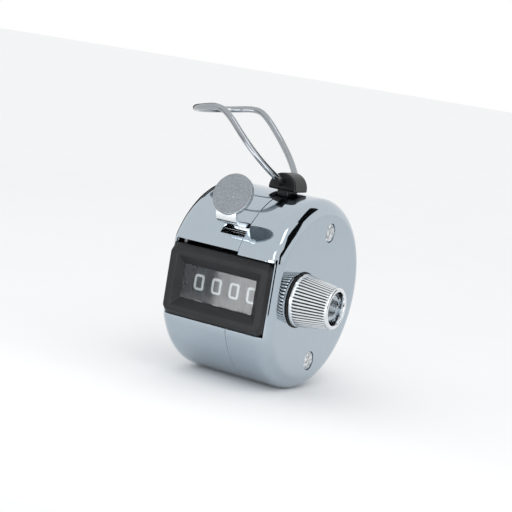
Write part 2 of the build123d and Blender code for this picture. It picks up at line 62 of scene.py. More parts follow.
# ---------------------------------------------------------------- places shared by several pieces
DRUM_R = 22.5 * MM
FLAT_Y = -20.5 * MM            # flat front of the drum
DRUM_W = 29.0 * MM
SEAM_X = 18.3 * MM
LIP_X = 20.3 * MM              # end of the left shell's lip, inside the right shell
WHEEL_Y = -7.5 * MM
WHEEL_Z = -0.35 * MM
WINDOW_X = DRUM_W / 2
RIVET_Y = 2.0 * MM
RIVET_REACH = 15.2 * MM        # rivets above and below the wheels' axis
RIVETS = [(RIVET_Y, WHEEL_Z + side * RIVET_REACH) for side in (1, -1)]
WHEELS = {
    "thousands": 8.15 * MM,
    "hundreds": 12.83 * MM,
    "tens": 17.51 * MM,
    "units": 22.19 * MM,
}
PIVOT = Vector((0, -13.0 * MM, 13.4 * MM))
LEVER_X = 15.4 * MM
PAD_CENTRE = Vector((LEVER_X, -21.5 * MM, 21.4 * MM))
PAD_LEAN = radians(22.5)
KNOB_X = 29.35 * MM


def linear(colour):
    """sRGB hex to linear RGB."""
    parts = [int(colour[i:i + 2], 16) / 255 for i in (1, 3, 5)]
    return [c / 12.92 if c <= 0.04045 else ((c + 0.055) / 1.055) ** 2.4 for c in parts]


def colour_prop(name, description, value):
    return FloatVectorProperty(name=name, description=description, subtype="COLOR", size=3, min=0, max=1,
                               default=linear(value))


def length_prop(name, description, value):
    return FloatProperty(name=name, description=description, unit="LENGTH", precision=5, default=value * MM)


# ---------------------------------------------------------------- what a user would change
class TallySizes(PropertyGroup):
    edge_radius: length_prop("Edge radius", "Rolled outer edges of both shells", 3.5)
    sheet: length_prop("Sheet", "Thickness of the pressed case", 0.8)
    rim_bevel: length_prop("Rim bevel", "Rounding of the sheet's cut edges", 0.14)
    rib_depth: length_prop("Rib depth", "Depth of the grooves between the knob's ribs", 0.3)
    ribs: IntProperty(name="Ribs", description="Ribs round the knob", default=46, min=12, max=90)
    wire: length_prop("Wire", "Diameter of the finger ring's wire", 1.5)
    digit_width: length_prop("Digit width", "Over the strokes of a digit", 2.6)
    digit_height: length_prop("Digit height", "Over the strokes of a digit", 3.7)
    digit_stroke: length_prop("Digit stroke", "Width of a digit's stroke", 0.6)
    grain: length_prop("Pad grain", "Size of the stipple on the thumb pad", 0.34)


class TallyColours(PropertyGroup):
    plating: colour_prop("Plating", "Bright chrome plating", "#B0BBC4")
    # lever, knob and rivets wear the same plating as the case; this lighter tint is a painted highlight, not a
    # brighter plating
    lever: colour_prop("Lever", "Bright nickel plating, lighter than the case", "#E6EAED")
    pad: colour_prop("Pad", "Stippled face of the thumb pad", "#A3AAB0")
    wire: colour_prop("Wire", "Drawn, plated wire", "#A3A8AD")
    frame: colour_prop("Window frame", "Moulded black plastic", "#17181A")
    clip: colour_prop("Ring clip", "Moulded black plastic", "#0F1012")
    wheel: colour_prop("Wheels", "Moulded black plastic", "#121417")
    ink: colour_prop("Digits", "White ink", "#F2F6F8")
    washer: colour_prop("Washer", "Black fibre", "#0C0C0D")
    steel: colour_prop("Steel", "Bright zinc plating", "#A9ABAC")
    lamp: colour_prop("Lamp", "Studio light", "#FFFFFF")
    floor: colour_prop("Floor", "Pale studio floor", "#F4F5F6")


def sizes():
    return bpy.context.scene.tally_sizes


def colours():
    return bpy.context.scene.tally_colours


# ---------------------------------------------------------------- meshes
def finish_piece(name, bm, material, body, slot, *nodes, sharp=35):
    """Turns a finished bmesh into a piece on a body, in place of its CAD nodes."""
    mesh = bpy.data.meshes.new(name)
    bm.to_mesh(mesh)
    bm.free()
    mesh.polygons.foreach_set("use_smooth", [True] * len(mesh.polygons))
    mesh.set_sharp_from_angle(angle=radians(sharp))
    mesh.materials.append(material)
    piece = bpy.data.objects.new(name, mesh)
    bpy.context.scene.collection.objects.link(piece)
    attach(piece, body)
    if nodes:
        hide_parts(*nodes)
    return piece


def modifier(piece, kind, **settings):
    added = piece.modifiers.new(kind.title(), kind)
    for key, value in settings.items():
        setattr(added, key, value)
    return added


def soften(piece, width, segments=2):
    """Rounds a piece's hard edges and keeps its flats flat."""
    modifier(piece, "BEVEL", width=width, segments=segments, limit_method="ANGLE", angle_limit=radians(35))
    modifier(piece, "WEIGHTED_NORMAL", keep_sharp=False)


def new_ring(bm, count, y=0.0, z=0.0):
    """Circle round a line parallel to the X axis, as its edges."""
    made = bmesh.ops.create_circle(bm, cap_ends=False, segments=count, radius=1.0,
                                   matrix=Matrix.Translation((0, y, z)) @ Matrix.Rotation(pi / 2, 4, "Y"))
    return list({edge for vert in made["verts"] for edge in vert.link_edges})


def ring_verts(edges):
    return list({vert for edge in edges for vert in edge.verts})


def pull_rings(bm, edges, stations, place):
    """Extrudes a loop of edges once for each further station, and puts each loop where place says."""
    first = edges
    for i, station in enumerate(stations):
        if i:
            made = bmesh.ops.extrude_edge_only(bm, edges=edges)["geom"]
            edges = [item for item in made if isinstance(item, BMEdge)]
            fresh = {item for item in made if isinstance(item, BMVert)}
            edges = [edge for edge in edges if all(vert in fresh for vert in edge.verts)]
        for vert in ring_verts(edges):
            vert.co = place(vert.co, station)
    return first, edges


def orient(bm, inside):
    """Points the faces away from a point inside the piece."""
    bmesh.ops.recalc_face_normals(bm, faces=bm.faces)
    bm.normal_update()
    away = sum(face.normal.dot(face.calc_center_median() - inside) * face.calc_area() for face in bm.faces)
    if away < 0:
        bmesh.ops.reverse_faces(bm, faces=bm.faces)


def lathe(bm, centre, profile, steps, axis=(1, 0, 0)):
    """Spins a profile of (along the axis, radius) points round an axis through centre."""
    centre = Vector(centre)
    across = Vector(axis).orthogonal().normalized()
    verts = [bm.verts.new(centre + Vector(axis) * along + across * radius) for along, radius in profile]
    edges = [bm.edges.new(pair) for pair in zip(verts, verts[1:])]
    bmesh.ops.spin(bm, geom=verts + edges, cent=centre, axis=axis, angle=2 * pi, steps=steps, use_merge=True)
    bmesh.ops.remove_doubles(bm, verts=bm.verts, dist=1e-7)
    bmesh.ops.recalc_face_normals(bm, faces=bm.faces)


def arc(centre, radius, start, end, steps):
    """Points of an arc in a lathe's profile, angles in degrees from the axis."""
    turns = [radians(start + (end - start) * i / steps) for i in range(steps + 1)]
    return [(centre[0] + radius * cos(t), centre[1] + radius * sin(t)) for t in turns]


# ---------------------------------------------------------------- materials
def add_node(tree, kind, inputs=None, **settings):
    """Adds a shader node with its settings; each input is a value, or the socket that feeds it."""
    made = tree.nodes.new(kind)
    for key, value in settings.items():
        setattr(made, key, value)
    for key, value in (inputs or {}).items():
        if isinstance(value, bpy.types.NodeSocket):
            tree.links.new(value, made.inputs[key])
        elif value is not None:
            made.inputs[key].default_value = value
    return made


def rgba(colour, share=1.0):
    return (*[channel * share for channel in colour], 1.0)


def new_material(name):
    material = bpy.data.materials.new(name)
    material.use_nodes = True
    material.node_tree.nodes.clear()
    tree = material.node_tree
    place = add_node(tree, "ShaderNodeTexCoord").outputs["Object"]
    return material, tree, place


def surface(tree, **inputs):
    """Principled surface; keys are its socket names with underscores."""
    named = {key.replace("_", " "): value for key, value in inputs.items()}
    shader = add_node(tree, "ShaderNodeBsdfPrincipled", named)
    add_node(tree, "ShaderNodeOutputMaterial", {"Surface": shader.outputs["BSDF"]})
    return shader


def pattern(tree, place, size, detail=2.0, stretch=(1, 1, 1), roughness=0.5):
    """Noise whose features are about size across."""
    mapped = add_node(tree, "ShaderNodeMapping", {"Vector": place, "Scale": stretch})
    made = add_node(tree, "ShaderNodeTexNoise", {"Vector": mapped.outputs["Vector"], "Scale": 1 / size,
                                                 "Detail": detail, "Roughness": roughness})
    return made.outputs["Fac"]


def between(tree, factor, low, high, start=0.0, end=1.0):
    """Maps a factor from start..end to low..high."""
    made = add_node(tree, "ShaderNodeMapRange", {"Value": factor, "From Min": start, "From Max": end,
                                                 "To Min": low, "To Max": high})
    return made.outputs["Result"]


def blend_colour(tree, factor, first, second):
    made = add_node(tree, "ShaderNodeMix", {"Factor": factor}, data_type="RGBA")
    for index, value in ((6, first), (7, second)):
        if isinstance(value, bpy.types.NodeSocket):
            tree.links.new(value, made.inputs[index])
        else:
            made.inputs[index].default_value = value
    return made.outputs[2]


def bump(tree, height, distance, strength=1.0, normal=None):
    made = add_node(tree, "ShaderNodeBump", {"Height": height, "Distance": distance, "Strength": strength,
                                             "Normal": normal})
    return made.outputs["Normal"]


def chrome_plating(name, tint, waviness=1.0, roughness=(0.035, 0.075)):
    """Nickel-chrome plating on pressed, polished steel: a cool mirror with a faint wave and wipe marks."""
    material, tree, place = new_material(name)
    wave = pattern(tree, place, 7 * MM, detail=1.0)
    wipe = pattern(tree, place, 1.6 * MM, detail=4.0, stretch=(1, 1, 0.35))
    surface(tree, Metallic=1.0,
            Base_Color=blend_colour(tree, wipe, rgba(tint, 0.965), rgba(tint, 1.03)),
            Roughness=between(tree, wipe, *roughness, 0.35, 0.7),
            Normal=bump(tree, wave, 0.05 * MM * waviness, 0.35))
    return material


def blasted_chrome():
    """Plating over a stippled pressing: grains a third of a millimetre, with painted shade darkening the hollows
    between them.
    """
    material, tree, place = new_material("blasted_chrome")
    tint = colours().pad
    grain = sizes().grain
    stipple = pattern(tree, place, grain * 0.8, detail=3.0, roughness=0.65)
    sparkle = add_node(tree, "ShaderNodeTexVoronoi", {"Vector": place, "Scale": 1 / grain}).outputs["Distance"]
    # hollow: darker base colour in the stipple's hollows, which is painted shade
    hollow = between(tree, stipple, 0.45, 0, 0.35, 0.65)
    surface(tree, Metallic=1.0,
            Base_Color=blend_colour(tree, hollow, rgba(tint), rgba(tint, 0.25)),
            Roughness=between(tree, stipple, 0.26, 0.42, 0.3, 0.7),
            Normal=bump(tree, sparkle, 0.05 * MM, 0.5, bump(tree, stipple, 0.09 * MM, 0.8)))
    return material


def drawn_wire(name, tint, across=0.22, roughness=(0.05, 0.14)):
    """Drawn wire, plated: bright, with fine lines and small dents left by the die and the bending."""
    material, tree, place = new_material(name)
    lines = pattern(tree, place, across * MM, detail=2.0)
    dents = pattern(tree, place, 2.4 * MM, detail=2.0)
    surface(tree, Metallic=1.0,
            Base_Color=blend_colour(tree, dents, rgba(tint, 0.86), rgba(tint, 1.05)),
            Roughness=between(tree, lines, *roughness, 0.3, 0.7),
            Normal=bump(tree, dents, 0.09 * MM, 0.6))
    return material


def turned_metal(name, tint, roughness=(0.08, 0.2)):
    """Turned metal: fine tool rings round the X axis. Real rings are 0.05 mm apart; drawn at 0.18 mm to show."""
    material, tree, place = new_material(name)
    rings = pattern(tree, place, 0.18 * MM, detail=1.0, stretch=(1, 0.03, 0.03))
    stains = pattern(tree, place, 1.5 * MM, detail=3.0)
    surface(tree, Metallic=1.0,
            Base_Color=blend_colour(tree, stains, rgba(tint, 0.9), rgba(tint, 1.04)),
            Roughness=between(tree, rings, *roughness, 0.3, 0.7),
            Normal=bump(tree, rings, 0.012 * MM, 0.5))
    return material


def zinc_sheet(name, tint):
    """Blanked steel sheet, bright zinc: slightly cloudy, with soft rolling lines along Z."""
    material, tree, place = new_material(name)
    cloud = pattern(tree, place, 1.2 * MM, detail=4.0)
    rolling = pattern(tree, place, 0.25 * MM, detail=2.0, stretch=(1, 1, 0.06))
    surface(tree, Metallic=1.0,
            Base_Color=blend_colour(tree, cloud, rgba(tint, 0.8), rgba(tint, 1.02)),
            Roughness=between(tree, cloud, 0.24, 0.42, 0.3, 0.7),
            Normal=bump(tree, rolling, 0.01 * MM, 0.5))
    return material


def ribbed_metal(name, tint):
    """Plated knob: bright crests, and painted shade in the grooves between its ribs, darker than their shape makes
    them.
    """
    material, tree, place = new_material(name)
    stains = pattern(tree, place, 1.5 * MM, detail=3.0)
    centred = add_node(tree, "ShaderNodeMapping", {
        "Vector": place, "Location": (0, -WHEEL_Y, -WHEEL_Z)}).outputs["Vector"]
    part = add_node(tree, "ShaderNodeSeparateXYZ", {"Vector": centred})
    turn = add_node(tree, "ShaderNodeMath", {0: part.outputs["Z"], 1: part.outputs["Y"]}, operation="ARCTAN2")
    count = float(sizes().ribs)
    rib = add_node(tree, "ShaderNodeMath", {0: turn.outputs["Value"], 1: count}, operation="MULTIPLY")
    wave = add_node(tree, "ShaderNodeMath", {0: rib.outputs["Value"]}, operation="COSINE").outputs["Value"]
    # painted groove shade only along the ribbed part of the cone, and only on its outside
    along = part.outputs["X"]
    start = between(tree, along, 0, 1, KNOB_X + 0.7 * MM, KNOB_X + 0.9 * MM)
    end = between(tree, along, 1, 0, KNOB_X + 8.3 * MM, KNOB_X + 8.6 * MM)
    flat = add_node(tree, "ShaderNodeVectorMath", {0: centred, 1: (0, 1, 1)}, operation="MULTIPLY")
    reach = add_node(tree, "ShaderNodeVectorMath", {0: flat.outputs["Vector"]}, operation="LENGTH").outputs["Value"]
    outside = between(tree, reach, 0, 1, 4.2 * MM, 4.3 * MM)
    # deep: painted shade in the grooves, strongest at their bottoms
    deep = between(tree, wave, 1, 0, -0.75, 0.35)
    for share in (start, end, outside):
        deep = add_node(tree, "ShaderNodeMath", {0: deep, 1: share}, operation="MULTIPLY").outputs["Value"]
    bright = blend_colour(tree, stains, rgba(tint, 0.88), rgba(tint, 1.04))
    surface(tree, Metallic=1.0,
            Base_Color=blend_colour(tree, deep, bright, rgba(tint, 0.05)),
            Roughness=between(tree, stains, 0.06, 0.16, 0.3, 0.7))
    return material


def tumbled_rivet():
    """Rivet heads peened over in place and plated: bright, bumpy at half a millimetre, with painted shade in the
    dimples' low spots.
    """
    material, tree, place = new_material("tumbled_rivet")
    dimples = pattern(tree, place, 0.7 * MM, detail=3.0)
    tint = colours().lever
    # high: base colour darker where the dimples sink, which is painted shade
    high = between(tree, dimples, 0, 1, 0.35, 0.62)
    surface(tree, Metallic=1.0,
            Base_Color=blend_colour(tree, high, rgba(tint, 0.35), rgba(tint)),
            Roughness=between(tree, dimples, 0.12, 0.3, 0.3, 0.7),
            Normal=bump(tree, dimples, 0.14 * MM, 0.9))
    return material


def moulded_plastic(name, colour, grain=0.16, roughness=(0.42, 0.6), depth=0.012, lighter=1.5):
    """Moulded ABS: satin black, fine spark-eroded grain. Real grain is 0.05 mm; drawn at 0.16 mm to show."""
    material, tree, place = new_material(name)
    spark = pattern(tree, place, grain * MM, detail=2.0, roughness=0.6)
    flow = pattern(tree, place, 5 * MM, detail=2.0)
    speck = between(tree, spark, 0, 1, 0.42, 0.72)
    surface(tree, IOR=1.53,
            Specular_IOR_Level=0.32,
            Base_Color=blend_colour(tree, speck, rgba(colour), rgba(colour, lighter)),
            Roughness=between(tree, flow, *roughness, 0.3, 0.7),
            Normal=bump(tree, spark, depth * MM, 0.8))
    return material


def printed_ink():
    """Hot-stamped white digits: matt, with slightly uneven cover."""
    material, tree, place = new_material("stamped_white")
    cover = pattern(tree, place, 0.3 * MM, detail=3.0)
    surface(tree, Base_Color=blend_colour(tree, cover, rgba(colours().ink, 0.82), rgba(colours().ink)),
            Roughness=0.55, Specular_IOR_Level=0.3,
            Normal=bump(tree, cover, 0.006 * MM, 0.5))
    return material


def clear_acrylic():
    """Clear cast acrylic with a faint, even film of dust and wiping marks, which softens what it reflects."""
    material, tree, place = new_material("dusty_acrylic")
    dust = pattern(tree, place, 0.3 * MM, detail=5.0, roughness=0.7)
    wipes = pattern(tree, place, 1.5 * MM, detail=3.0, stretch=(1, 1, 0.4))
    film = between(tree, dust, 0.02, 0.12, 0.35, 0.75)
    clear = add_node(tree, "ShaderNodeBsdfPrincipled", {
        "Base Color": (0.93, 0.96, 0.97, 1), "Roughness": 0.06, "IOR": 1.49, "Transmission Weight": 1.0})
    hazy = add_node(tree, "ShaderNodeBsdfPrincipled", {
        "Base Color": (0.62, 0.66, 0.7, 1), "Roughness": between(tree, wipes, 0.35, 0.6)})
    mixed = add_node(tree, "ShaderNodeMixShader", {0: film, 1: clear.outputs["BSDF"], 2: hazy.outputs["BSDF"]})
    add_node(tree, "ShaderNodeOutputMaterial", {"Surface": mixed.outputs["Shader"]})
    return material


def black_fibre():
    """Vulcanised fibre: matt black paper with a faint felted grain."""
    material, tree, place = new_material("black_fibre")
    felt = pattern(tree, place, 0.3 * MM, detail=4.0, stretch=(0.3, 1, 1))
    surface(tree, Base_Color=blend_colour(tree, felt, rgba(colours().washer, 0.7), rgba(colours().washer, 1.6)),
            Roughness=0.75, Normal=bump(tree, felt, 0.02 * MM, 0.6))
    return material


def studio_floor():
    """Pale painted board: matt, very faintly mottled at 30 mm."""
    material, tree, place = new_material("painted_board")
    mottle = pattern(tree, place, 30 * MM, detail=2.0)
    surface(tree, Base_Color=blend_colour(tree, mottle, rgba(colours().floor, 0.98), rgba(colours().floor)),
            Roughness=0.9, Specular_IOR_Level=0.1)
    return material


def frame_finishes():
    """Finish of each material slot that CAD nodes still show."""
    steel = colours().steel
    return {
        "plate_steel": zinc_sheet("zinc_plate", steel),
        "shaft_steel": turned_metal("turned_steel", steel),
        "spring_steel": drawn_wire("music_wire", [0.82 * channel for channel in steel], across=0.1),
        "wheel_plastic": moulded_plastic("inner_plastic", colours().wheel),
    }


# ---------------------------------------------------------------- case shells
SHELL_SEGMENTS = 360
SHELL_AXIS = Vector((10 * MM, 0, 0))


def outline_radius(turn, inset):
    """Distance from the drum's axis to its outline, round with a flat front, set in from the outside."""
    curved = DRUM_R - inset
    towards = -cos(turn)
    if towards < 0.3:
        return curved
    flat = (-FLAT_Y - inset) / towards
    soft = 0.5 * MM
    near = max(soft - abs(curved - flat), 0) / soft
    return min(curved, flat) - near * near * soft / 4


def place_on_drum(co, station):
    x, inset = station
    turn = atan2(co.z, co.y)
    reach = outline_radius(turn, inset)
    return Vector((x, reach * cos(turn), reach * sin(turn)))


def end_cap(bm, rim, x, inward, hub=None):
    """Flat end face inside the rim, with the rivets' seats sunk in it."""
    loops = list(rim)
    seats = []
    for y, z in RIVETS:
        seat = bmesh.ops.create_circle(bm, cap_ends=False, segments=48, radius=2.3 * MM,
                                       matrix=Matrix.Translation((x, y, z)) @ Matrix.Rotation(pi / 2, 4, "Y"))
        seats.append(list({edge for vert in seat["verts"] for edge in vert.link_edges}))
        loops += seats[-1]
    if hub:
        place = Matrix.Translation((x, WHEEL_Y, WHEEL_Z)) @ Matrix.Rotation(pi / 2, 4, "Y")
        hole = bmesh.ops.create_circle(bm, cap_ends=False, segments=48, radius=hub, matrix=place)
        loops += list({edge for vert in hole["verts"] for edge in vert.link_edges})
    bmesh.ops.triangle_fill(bm, edges=loops, use_beauty=True, use_dissolve=False, normal=(-inward, 0, 0))
    for seat, (y, z) in zip(seats, RIVETS):
        wall = bmesh.ops.extrude_edge_only(bm, edges=seat)["geom"]
        deep = [item for item in wall if isinstance(item, BMVert)]
        bmesh.ops.translate(bm, verts=deep, vec=(inward * 0.4 * MM, 0, 0))
        edges = [item for item in wall if isinstance(item, BMEdge) and all(vert in deep for vert in item.verts)]
        floor = bmesh.ops.extrude_edge_only(bm, edges=edges)["geom"]
        inner = [item for item in floor if isinstance(item, BMVert)]
        middle = Vector((x + inward * 0.4 * MM, y, z))
        bmesh.ops.scale(bm, verts=inner, vec=(1, 0.45, 0.45), space=Matrix.Translation(-middle))


def open_box(bm, low, high):
    """Cuts a box-shaped opening through the sheet."""
    low = Vector(low)
    high = Vector(high)
    for axis in range(3):
        for limit in (low[axis], high[axis]):
            near = [face for face in bm.faces
                    if all(low[i] - 3 * MM < face.calc_center_median()[i] < high[i] + 3 * MM for i in range(3))]
            geom = near + list({edge for face in near for edge in face.edges})
            geom += list({vert for face in near for vert in face.verts})
            point = Vector((0, 0, 0))
            point[axis] = limit
            across = Vector((0, 0, 0))
            across[axis] = 1
            bmesh.ops.bisect_plane(bm, geom=geom, plane_co=point, plane_no=across, dist=1e-7)
    inside = [face for face in bm.faces
              if all(low[i] < face.calc_center_median()[i] < high[i] for i in range(3))]
    bmesh.ops.delete(bm, geom=inside, context="FACES")


def rolled_edge(x_end, outward, radius, steps=10):
    """Stations of a shell's rolled edge, from the flat end face to the round wall."""
    turns = [pi / 2 * i / steps for i in range(steps + 1)]
    stations = [(x_end, radius + 0.6 * MM)]
    stations += [(x_end + outward * radius * (1 - cos(t)), radius * (1 - sin(t))) for t in turns]
    return stations


def clip_notch(bm, x_low, x_high):
    open_box(bm, (x_low, -4.55 * MM, 12 * MM), (x_high, 0.05 * MM, 30 * MM))


class TALLY_OT_shells(Operator):
    """Two pressed shells with the window's opening, the lever's slot and the rivets' seats"""
    bl_idname = "tally.shells"
    bl_label = "Case shells"

    def execute(self, context):
        size = sizes()
        chrome = chrome_plating("chrome_plating", colours().plating)
        window = (WINDOW_X - 13.2 * MM, WINDOW_X + 13.2 * MM)
        sill = WHEEL_Z - 8.3 * MM

        left = bmesh.new()
        stations = rolled_edge(0, 1, size.edge_radius)
        stations += [(x * MM, 0) for x in (7, 11, 15)]
        stations += [(SEAM_X - 0.1 * MM, 0), (SEAM_X, 0.1 * MM), (SEAM_X, 0.85 * MM), (LIP_X, 0.85 * MM)]
        rim, _ = pull_rings(left, new_ring(left, SHELL_SEGMENTS), stations, place_on_drum)
        end_cap(left, rim, 0, 1)
        orient(left, SHELL_AXIS)
        open_box(left, (window[0], -30 * MM, sill), (30 * MM, -15 * MM, 9.1 * MM))
        open_box(left, (12.2 * MM, -30 * MM, 12.2 * MM), (30 * MM, -10 * MM, 15.2 * MM))
        clip_notch(left, SEAM_X - 1.7 * MM, 30 * MM)
        self.roll_slot(left)
        self.add_sheet("case_left", left, chrome, "left_shell")

        right = bmesh.new()
        stations = rolled_edge(DRUM_W, -1, size.edge_radius)
        stations += [(22 * MM, 0), (SEAM_X + 0.16 * MM, 0), (SEAM_X + 0.06 * MM, 0.1 * MM)]
        rim, _ = pull_rings(right, new_ring(right, SHELL_SEGMENTS), stations, place_on_drum)
        end_cap(right, rim, DRUM_W, -1, hub=2.6 * MM)
        orient(right, SHELL_AXIS + Vector((10 * MM, 0, 0)))
        open_box(right, (0, -30 * MM, sill), (window[1], -15 * MM, 8.35 * MM))
        clip_notch(right, 0, SEAM_X + 1.7 * MM)
        self.add_sheet("case_right", right, chrome, "right_shell")
        return {"FINISHED"}

    def roll_slot(self, bm):
        """Turns the slot's upper edge inwards, as a rolled lip that the lever rides under."""
        top = 15.2 * MM
        edges = [edge for edge in bm.edges if edge.is_boundary
                 and all(abs(vert.co.z - top) < 1e-6 and vert.co.y < -10 * MM for vert in edge.verts)]
        for step in ((0, 0.35, -0.12), (0, 0.5, -0.45), (0, 0.3, -0.6)):
            made = bmesh.ops.extrude_edge_only(bm, edges=edges)["geom"]
            fresh = [item for item in made if isinstance(item, BMVert)]
            bmesh.ops.translate(bm, verts=fresh, vec=Vector(step) * MM)
            edges = [item for item in made if isinstance(item, BMEdge) and all(v in fresh for v in item.verts)]

    def add_sheet(self, name, bm, material, node):
        piece = finish_piece(name, bm, material, "case", "chrome_case", node)
        modifier(piece, "SOLIDIFY", thickness=sizes().sheet, offset=-1.0, use_even_offset=True)
        soften(piece, sizes().rim_bevel, 3)


# ---------------------------------------------------------------- window
CORNER_STEPS = 6


def place_on_window(co, station):
    """Moves a point of a rounded rectangle to the same point of the next one."""
    width, height, corner, y, old = station
    u, v = co.x - WINDOW_X, co.z - WHEEL_Z
    side_u, side_v = (1 if u > 0 else -1), (1 if v > 0 else -1)
    old_w, old_h, old_r = old
    offset_u = (u - side_u * (old_w / 2 - old_r)) * corner / old_r
    offset_v = (v - side_v * (old_h / 2 - old_r)) * corner / old_r
    return Vector((WINDOW_X + side_u * (width / 2 - corner) + offset_u, y,
                   WHEEL_Z + side_v * (height / 2 - corner) + offset_v))


class TALLY_OT_window(Operator):
    """Moulded window frame with its sloping rim and stepped sight, and the clear lens behind it"""
    bl_idname = "tally.window"
    bl_label = "Window"

    def execute(self, context):
        self.add_frame()
        self.add_lens()
        return {"FINISHED"}

    def add_frame(self):
        profile = (
            # width, height, corner, y
            (26.2, 16.5, 1.6, -18.2),
            (26.3, 16.6, 1.6, -20.2),
            (25.93, 14.78, 1.3, -21.13),
            (25.86, 14.5, 1.25, -21.27),
            (25.7, 14.24, 1.2, -21.37),
            (25.4, 13.9, 1.1, -21.42),
            (22.5, 11.95, 0.5, -21.42),
            (22.2, 11.65, 0.42, -21.39),
            (21.95, 11.4, 0.36, -21.3),
            (19.35, 8.12, 0.25, -20.08),
            (19.15, 7.9, 0.22, -19.98),
            (19.05, 7.8, 0.2, -19.93),
            (20.45, 9.2, 0.2, -19.93),
            (20.45, 9.2, 0.2, -18.2),
        )
        stations = []
        old = [size * MM for size in profile[0][:3]]
        for row in profile:
            width, height, corner, y = [size * MM for size in row]
            stations.append((width, height, corner, y, old))
            old = (width, height, corner)
        bm = bmesh.new()
        first = stations[0]
        bmesh.ops.create_grid(bm, x_segments=1, y_segments=1, size=0.5,
                              matrix=Matrix.Translation((WINDOW_X, first[3], WHEEL_Z))
                              @ Matrix.Rotation(pi / 2, 4, "X") @ Matrix.Diagonal((first[0], first[1], 1, 1)))
        bmesh.ops.bevel(bm, geom=bm.verts[:], affect="VERTICES", offset=first[2], segments=CORNER_STEPS,
                        profile=0.5, material=-1)
        bmesh.ops.delete(bm, geom=bm.faces[:], context="FACES_ONLY")
        start, end = pull_rings(bm, bm.edges[:], stations, place_on_window)
        bmesh.ops.bridge_loops(bm, edges=start + end)
        bmesh.ops.recalc_face_normals(bm, faces=bm.faces)
        frame_plastic = moulded_plastic("moulded_frame", colours().frame)
        piece = finish_piece("window_surround", bm, frame_plastic, "case", "frame_plastic",
                             "window_frame", sharp=40)
        modifier(piece, "WEIGHTED_NORMAL", keep_sharp=True)

    def add_lens(self):
        low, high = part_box("window_lens")
        middle = (low + high) / 2
        extent = high - low
        bm = bmesh.new()
        bmesh.ops.create_cube(bm, size=1.0, matrix=Matrix.Translation(middle) @ Matrix.Diagonal((*extent, 1)))
        bmesh.ops.bevel(bm, geom=bm.edges[:], affect="EDGES", offset=0.15 * MM, segments=2, profile=0.5, material=-1)
        piece = finish_piece("window_pane", bm, clear_acrylic(), "case", "lens_clear", "window_lens", sharp=30)
        modifier(piece, "WEIGHTED_NORMAL", keep_sharp=True)


# ---------------------------------------------------------------- number wheels
WHEEL_R = 10.0 * MM
WHEEL_HALF = 1.75 * MM
DIGIT_STROKES = (
    # each stroke is its points, and whether it closes; a digit fills -1..1 both ways
    [(((-1, 1), (1, 1), (1, -1), (-1, -1)), True)],
    [(((-0.5, 0.62), (0.1, 1), (0.1, -1)), False)],
    [(((-1, 0.5), (-1, 1), (1, 1), (1, 0.1), (-1, -0.5), (-1, -1), (1, -1)), False)],
    [(((-1, 1), (1, 1), (1, 0.03), (-0.3, 0.03)), False), (((-0.3, 0.03), (1, 0.03), (1, -1), (-1, -1)), False)],
    [(((0.3, 1), (-1, -0.4), (1, -0.4)), False), (((0.5, 0.3), (0.5, -1)), False)],
    [(((1, 1), (-1, 1), (-1, 0.1), (1, 0.1), (1, -1), (-1, -1)), False)],
    [(((1, 1), (-1, 1), (-1, -0.2)), False), (((-1, 0.1), (1, 0.1), (1, -1), (-1, -1)), True)],
    [(((-1, 1), (1, 1), (-0.2, -1)), False)],
    [(((-1, 1), (1, 1), (1, 0.05), (-1, 0.05)), True), (((-1, 0.05), (1, 0.05), (1, -1), (-1, -1)), True)],
    [(((-1, 1), (1, 1), (1, -0.1), (-1, -0.1)), True), (((1, 0.2), (1, -1), (-1, -1)), False)],
)


def rounded_points(points, closed, corner):
    """Control points of a stroke: one beside each corner on either side, so that the spline rounds it."""
    made = []
    count = len(points)
    for i, point in enumerate(points):
        here = Vector(point)
        ends = not closed and i in (0, count - 1)
        if ends:
            made.append(here)
            continue
        for other in (points[i - 1], None, points[(i + 1) % count]):
            if other is None:
                made.append(here)
            else:
                step = Vector(other) - here
                made.append(here + step.normalized() * min(corner, step.length / 2))
    return made


def digit_mesh(digit):
    """Strokes of one digit as a mesh, lying flat in XY."""
    size = sizes()
    half_w = (size.digit_width - size.digit_stroke) / 2
    half_h = (size.digit_height - size.digit_stroke) / 2
    curve = bpy.data.curves.new("strokes", "CURVE")
    curve.dimensions = "3D"
    curve.bevel_depth = size.digit_stroke / 2
    curve.bevel_resolution = 3
    curve.resolution_u = 8
    curve.use_fill_caps = True
    for points, closed in DIGIT_STROKES[digit]:
        scaled = [(u * half_w, v * half_h) for u, v in points]
        control = rounded_points(scaled, closed, 0.95 * MM)
        spline = curve.splines.new("NURBS")
        spline.points.add(len(control) - 1)
        for knot, point in zip(spline.points, control):
            knot.co = (point.x, point.y, 0, 1)
        spline.order_u = 3
        spline.use_cyclic_u = closed
        spline.use_endpoint_u = not closed
    holder = bpy.data.objects.new("strokes", curve)
    mesh = bpy.data.meshes.new_from_object(holder)
    bpy.data.objects.remove(holder)
    bpy.data.curves.remove(curve)
    return mesh


